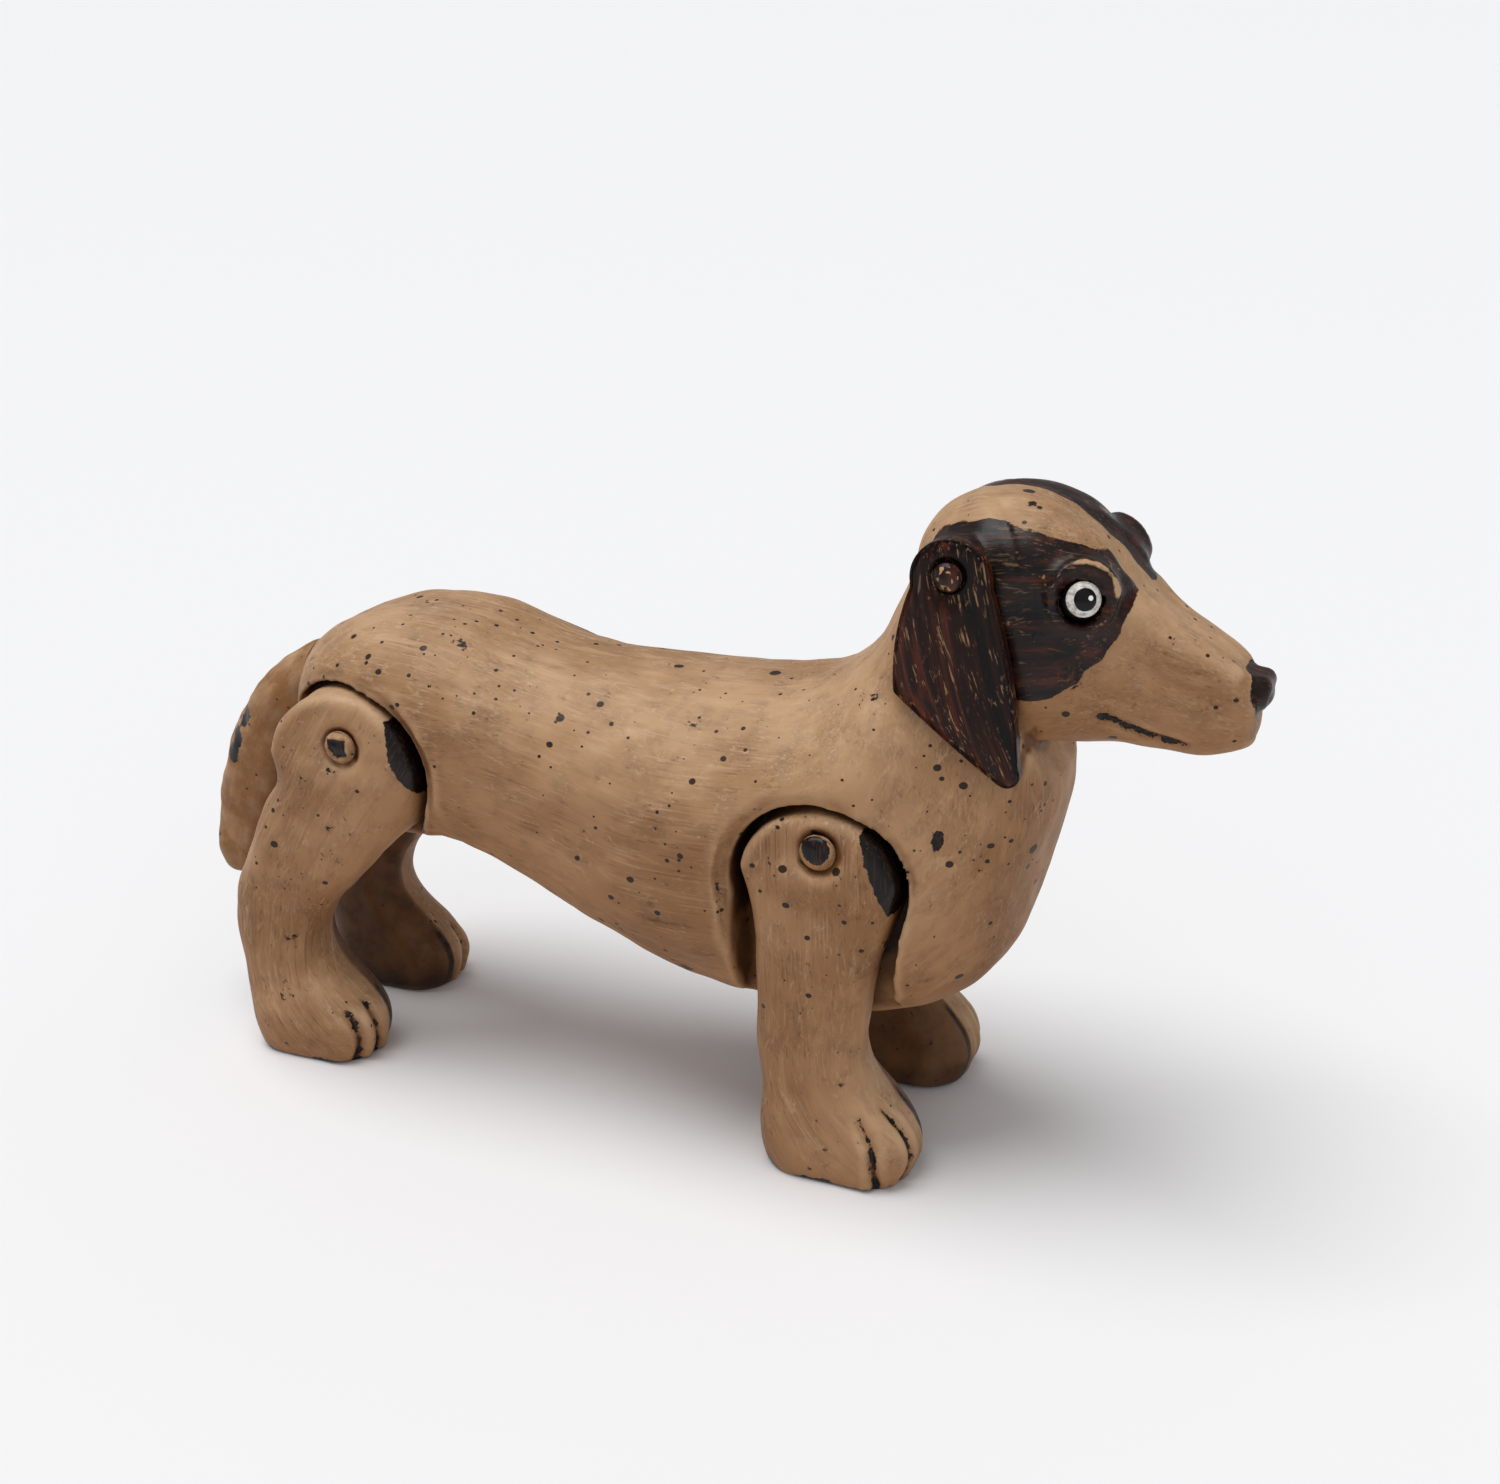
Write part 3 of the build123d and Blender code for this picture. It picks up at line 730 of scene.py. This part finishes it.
def carve_leg(kind, hand, side, seed):
    """Rounds, tucks, cuts the toes of and wears one leg."""
    spec = LEGS[kind]
    node = f"{kind}_{hand}"
    piece = carved(node, node + "_turning", "painted_wood", 0.62, spec["spine"],
                   painted_wood("cream_paint_" + node, seed), rounds=10)
    obj = piece["obj"]
    inner = spec["inner"] + 0.15
    place = points(obj)
    out = side * place[:, 1]
    hip_x, hip_z = spec["round"]
    from_hip = np.hypot(place[:, 0] - hip_x, place[:, 2] - hip_z)
    hip_fold = ramp(out, inner + 1.5, inner + 4) * bump(from_hip - spec["radius"], 14) \
        * ramp(place[:, 2], hip_z + 4, hip_z - 5)
    smooth(obj, 220, 0.6, hip_fold)
    place = points(obj)
    out = side * place[:, 1]
    low, high, tuck = spec["tuck"]
    outer = ramp(out, inner + 3, inner + 9)
    place[:, 1] -= side * tuck * outer * ramp(place[:, 2], low, high)
    set_points(obj, place)
    lift = 0.3 * ripple(place, (24, 20, 26), seed) + 0.12 * ripple(place, (9, 8, 9), seed + 40)
    ink = np.zeros(len(place))
    out = side * place[:, 1]
    ahead, lines = spec["front_toes"]
    front_view = np.stack([out, place[:, 2]], 1)
    toes = [(to_line(front_view, line, (0, 1)), ramp(place[:, 0], ahead, ahead + 3))
            for line in lines]
    if spec["side_toe"]:
        beyond, line = spec["side_toe"]
        toes.append((to_line(place, line), ramp(out, beyond, beyond + 1.5)))
    for (gap, run), on in toes:
        groove = on * ramp(run, 0, 0.14) * (0.7 + 0.3 * ramp(run, 0.2, 0.7))
        lift += on * 0.45 * bump(gap - 2.6, 2.0) * ramp(run, 0, 0.3) - 1.3 * groove * bump(gap, 1.3)
        ink = np.maximum(ink, groove * (1.15 - gap))
    peg_x, peg_z = spec["axis"]
    from_peg = np.hypot(place[:, 0] - peg_x, place[:, 2] - peg_z)
    lift *= ramp(from_peg, 5, 8)
    lift -= 0.35 * outer * bump(from_peg - 4.9, 1.6)
    flat_back = ramp(inner + 1.2 - out, 0, 0.8)
    raise_by(obj, lift * (1 - flat_back) * ramp(place[:, 2], 0.2, 1.4))
    place = points(obj)
    backstop = np.where(place[:, 2] > FLAT_FROM, spec["inner"] + 0.3, 0)
    place[:, 1] = side * np.maximum(side * place[:, 1], backstop)
    place[:, 2] = np.maximum(place[:, 2], 0)
    set_points(obj, place)

    start, end, middle, deep, rise = spec["chip"]
    angle = np.degrees(np.arctan2(place[:, 2] - hip_z, place[:, 0] - hip_x))
    from_hip = np.hypot(place[:, 0] - hip_x, place[:, 2] - hip_z)
    rim = deep + rise * ((angle - middle) / (end - middle)) ** 2
    arc_room = np.minimum(angle - start, end - angle) / 57.3 * spec["radius"]
    worn = np.minimum(from_hip - rim, arc_room) - 3 * ramp(inner + 4 - side * place[:, 1], 0, 3)
    sole = 0.55 - place[:, 2] * 0.9 + 0.4 * ripple(place, (8, 8, 8), seed + 3)
    nick = 0.5 * ripple(place, (10, 10, 10), seed + 7) - 1.05
    piece["chip"] = np.maximum.reduce([worn, sole, nick, 0.9 * ink - 0.55])
    out = side * place[:, 1]
    # Added darkening: dark paint in the toe grooves; painted shade in a ring round the peg, on the
    # flat face against the body and on the inner side below the belly; darker towards the floor.
    shaded_under_side = ramp(spec["belly_line"] - out, -1, 5) * ramp(place[:, 2], 62, 44)
    piece["stain_and_shade"] = (0.8 * np.maximum(ink, 0) + 0.55 * outer * bump(from_peg - 4.6, 1.5)
                      + 0.2 * ramp(place[:, 2], 10, 1) + 0.5 * ramp(inner + 2 - out, 0, 2)
                      + 0.45 * shaded_under_side)


seed = 11
for hand, side in SIDES:
    for kind in LEGS:
        carve_leg(kind, hand, side, seed)
        seed += 6

# ---------------------------------------------------------------- ears

EAR_SPINE = [(67, 152), (69, 138), (74, 118), (82, 98)]


def rim_gap(obj):
    """Distance in side view from each point to the nearest edge wall of a flat piece."""
    place, way = points(obj), normals(obj)
    wall = np.nonzero(np.abs(way[:, 1]) < 0.45)[0]
    tree = kdtree.KDTree(len(wall))
    for k, vertex in enumerate(wall):
        tree.insert((place[vertex, 0], 0, place[vertex, 2]), k)
    tree.balance()
    return np.array([tree.find((x, 0, z))[2] for x, _, z in place])


for hand, side in SIDES:
    node = "ear_" + hand
    piece = carved(node, node + "_turning", "dark_wood", 0.5, EAR_SPINE,
                   painted_wood("dark_paint_" + node, 3 + side, dark=1.0), rounds=3)
    obj = piece["obj"]
    gap = rim_gap(obj)
    place, way = points(obj), normals(obj)
    outer = ramp(side * way[:, 1], 0.1, 0.6)
    from_peg = np.hypot(place[:, 0] - EAR_AXIS[0], place[:, 2] - EAR_AXIS[1])
    flow = brush_flow(place, EAR_SPINE) / MM
    thinned_rim = 1.5 * (1 - ramp(gap, -1, 6))
    fold = 0.8 * bump(flow[:, 2] - 4, 5) * ramp(gap, 1, 4)
    place[:, 1] -= side * outer * (thinned_rim + fold)
    set_points(obj, place)
    lift = 0.2 * ripple(place, (14, 12, 20), 51) + 0.15 * ripple(flow, (40, 2.4, 2.4), 52, 24)
    raise_by(obj, lift * outer * ramp(from_peg, 4, 6))
    piece["patch"] = 6.0
    piece["chip"] = -3.0
    # Painted shade in a ring round the ear's peg.
    piece["stain_and_shade"] = 0.5 * outer * bump(from_peg - 4.2, 1.6)

# ---------------------------------------------------------------- tail

TAIL_SPINE = [(-98, 95), (-108, 90), (-116, 80), (-121, 68), (-126, 52), (-128, 44)]
TAIL_CHIP_LINE = [(-122, 69.5), (-120, 76), (-115.6, 83.5)]
# The tail's paint is darkened throughout, with orange-brown stain and painted shade from the thigh
# beside it.
tail_piece = carved("tail", "body", "painted_wood", 0.6, TAIL_SPINE,
                    painted_wood("cream_paint_tail", 7, stain_and_shade=0.42), rounds=7)
tail = tail_piece["obj"]
place = points(tail)
lift = 0.35 * ripple(place, (18, 14, 18), 61) + 0.12 * ripple(place, (6, 6, 6), 62)
raise_by(tail, lift * ramp(-place[:, 0], 98.5, 101))
place = points(tail)
edge_line, run = to_line(place, TAIL_CHIP_LINE)
tail_piece["chip"] = 0.9 - edge_line * 0.7 - 2 * ramp(run, 0.9, 1) \
    + 0.4 * ripple(place, (5, 5, 5), 63)
# Darker on the tail's sides away from its middle.
tail_piece["stain_and_shade"] = 0.1 * ramp(np.abs(place[:, 1]), 2, 5)

# ---------------------------------------------------------------- pegs and dowel


def carve_peg(kind, hand, side, axis, head_radius, mark):
    """Domes one peg's head and gives it its round, square or worn mark."""
    node = f"{kind}_{hand}"
    piece = carved(node, "body", "dowel_wood", 0.3,
                   [(axis[0], axis[1] + 20), (axis[0], axis[1] - 20)],
                   painted_wood("peg_paint_" + node, 17 + side), rounds=3)
    obj = piece["obj"]
    place = points(obj)
    out = side * place[:, 1]
    top = out.max()
    u, v = place[:, 0] - axis[0], place[:, 2] - axis[1]
    radial = np.hypot(u, v)
    head = ramp(out, top - 1.6, top - 0.4)
    place[:, 1] -= side * head * 1.1 * (radial / head_radius) ** 2.6
    set_points(obj, place)
    raise_by(obj, head * 0.14 * ripple(place, (3, 3, 3), 71))
    if mark == "round":
        piece["chip"] = np.where(head > 0.2, 3.2 - np.hypot(u + 0.3, v - 1.0), -3)
    elif mark == "square":
        dent = np.maximum(np.abs(u + 0.12 * v), np.abs(v - 0.12 * u))
        raise_by(obj, -0.75 * head * ramp(2.7 - dent, 0, 0.7))
        piece["chip"] = np.where(head > 0.2, 2.25 - dent, -3)
    else:
        rubbed = 0.35 + 0.9 * ripple(place, (1.6, 1.6, 1.6), 73)
        piece["patch"] = np.where(np.abs(radial - 2.0) < 0.7, rubbed, 3)


LEG_PEG_HEAD, EAR_PEG_HEAD = 4, 3.2
for hand, side in SIDES:
    hind_mark = "square" if side < 0 else "round"
    carve_peg("front_leg_peg", hand, side, LEGS["front_leg"]["axis"], LEG_PEG_HEAD, "round")
    carve_peg("hind_leg_peg", hand, side, LEGS["hind_leg"]["axis"], LEG_PEG_HEAD, hind_mark)
    carve_peg("ear_peg", hand, side, EAR_AXIS, EAR_PEG_HEAD, "worn")

wood = Finish("dowel_wood_grain")
grain_place = wood.node("ShaderNodeTexCoord").outputs["Object"]
grain = wood.noise(wood.mapped(grain_place, (40, 900, 900)), 1, 4, 0.6, 0.4)
grain_colour = wood.mix(wood.span(grain, 0.35, 0.65), hue(181, 141, 96), hue(140, 100, 62))
wood.feed(wood.shader.inputs["Base Color"], grain_colour)
wood.feed(wood.shader.inputs["Roughness"], wood.span(grain, 0.3, 0.7, 0.6, 0.75))
wood.feed(wood.shader.inputs["Normal"], wood.relief(grain, 0.4, 0.0002))
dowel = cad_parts["tail_dowel"]
dowel.data.materials.clear()
dowel.data.materials.append(wood.material)

# ---------------------------------------------------------------- eyes

# Degrees from where the eye looks: the pupil fades out and the dark lid line fades in.
PUPIL_EDGE, LID_EDGE = (32.6, 31.2), (54.5, 56.5)
SPARK = (0.62, 0.72, 0.34)
bead = Finish("painted_bead")
tilt, dot = bead.layer("tilt"), bead.layer("dot")
here = bead.node("ShaderNodeTexCoord").outputs["Object"]
wobble = bead.math("MULTIPLY", bead.math("SUBTRACT", bead.noise(here, 420, 2), 0.5), 4)
tilt = bead.math("ADD", tilt, wobble)
cloudy = bead.noise(here, 900, 4, 0.6)
white = bead.mix(bead.span(cloudy, 0.4, 0.65), hue(222, 218, 210), hue(168, 160, 152))
colour = bead.mix(bead.span(tilt, *PUPIL_EDGE), white, hue(9, 7, 7))
colour = bead.mix(bead.span(tilt, *LID_EDGE), colour, hue(12, 7, 6))
colour = bead.mix(bead.span(dot, 0.62, 0.45), colour, hue(250, 250, 248))
bead.feed(bead.shader.inputs["Base Color"], colour)
bead.feed(bead.shader.inputs["Roughness"], bead.span(cloudy, 0.3, 0.7, 0.12, 0.26))
bead.feed(bead.shader.inputs["Normal"], bead.relief(cloudy, 0.15, 0.0001))
bead.shader.inputs["Specular IOR Level"].default_value = 0.2
bead.shader.inputs["Coat Weight"].default_value = 0.08
bead.shader.inputs["Coat Roughness"].default_value = 0.08

for hand, side in SIDES:
    shape = bmesh.new()
    bmesh.ops.create_uvsphere(shape, u_segments=72, v_segments=40, radius=BEAD * MM)
    look = Vector(EYE_LOOK * (1, side, 1))
    turn = look.to_track_quat("Z", "Y").to_matrix().to_4x4()
    middle = Vector(EYE * (1, side, 1)) * MM
    bmesh.ops.transform(shape, matrix=Matrix.Translation(middle) @ turn, verts=shape.verts)
    mesh = bpy.data.meshes.new("eye_bead_" + hand)
    shape.to_mesh(mesh)
    shape.free()
    mesh.shade_smooth()
    eye = link("eye_bead_" + hand, mesh)
    off = (points(eye) - EYE * (1, side, 1)) / BEAD
    facing = np.clip(off @ np.array(look), -1, 1)
    store(eye, "tilt", np.degrees(np.arccos(facing)))
    spark = np.array(SPARK) * (1, side, 1)
    spark = spark / np.linalg.norm(spark)
    store(eye, "dot", np.linalg.norm(off - spark, axis=1) * BEAD)
    mesh.materials.append(bead.material)
    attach(eye, "body")
    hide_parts("eye_" + hand)

# ---------------------------------------------------------------- paint layers

gathered = bmesh.new()
for piece in PIECES:
    gathered.from_mesh(piece["obj"].data)
whole = BVHTree.FromBMesh(gathered)
gathered.free()
for piece in PIECES:
    complete(piece, whole)

# ---------------------------------------------------------------- stage, light and camera

floor_mesh = bpy.data.meshes.new("floor")
floor_shape = bmesh.new()
bmesh.ops.create_grid(floor_shape, x_segments=1, y_segments=1, size=30)
floor_shape.to_mesh(floor_mesh)
floor_shape.free()
floor = link("floor", floor_mesh)
pale = Finish("pale_floor")
pale.feed(pale.shader.inputs["Base Color"], hue(250, 250, 251))
pale.shader.inputs["Roughness"].default_value = 0.9
floor_mesh.materials.append(pale.material)

world = bpy.data.worlds.new("studio")
bpy.context.scene.world = world
world.use_nodes = True
world.node_tree.nodes["Background"].inputs[0].default_value = (0.97, 0.98, 1, 1)
world.node_tree.nodes["Background"].inputs[1].default_value = 0.32


def lamp(name, strength, spread, place):
    """A soft lamp a long way off, shining from a place towards the figure."""
    data = bpy.data.lights.new(name, "SUN")
    data.energy = strength
    data.angle = math.radians(spread)
    obj = bpy.data.objects.new(name, data)
    obj.rotation_mode = "QUATERNION"
    obj.rotation_quaternion = Vector(place).to_track_quat("Z", "Y")
    bpy.context.scene.collection.objects.link(obj)


lamp("top_lamp", 1.95, 42, (-0.25, -0.1, 1))
lamp("front_lamp", 0.35, 80, (0.5, -1, 0.7))

CAMERA_TURN, CAMERA_RISE, CAMERA_DISTANCE = 21.3, 22.15, 479.7
LOOKED_AT = (15.6, 0, 90.5)
azimuth, elevation = math.radians(CAMERA_TURN), math.radians(CAMERA_RISE)
back = Vector((math.sin(azimuth) * math.cos(elevation), -math.cos(azimuth) * math.cos(elevation),
               math.sin(elevation)))
camera_data = bpy.data.cameras.new("camera")
camera_data.lens = 50
camera_data.sensor_width = 36
camera = bpy.data.objects.new("camera", camera_data)
bpy.context.scene.collection.objects.link(camera)
camera.location = Vector(LOOKED_AT) * MM + back * CAMERA_DISTANCE * MM
camera.rotation_mode = "QUATERNION"
camera.rotation_quaternion = (-back).to_track_quat("-Z", "Y")
camera_data.clip_start = 0.01
camera_data.clip_end = 100
bpy.context.scene.camera = camera
bpy.context.scene.view_settings.view_transform = "Standard"
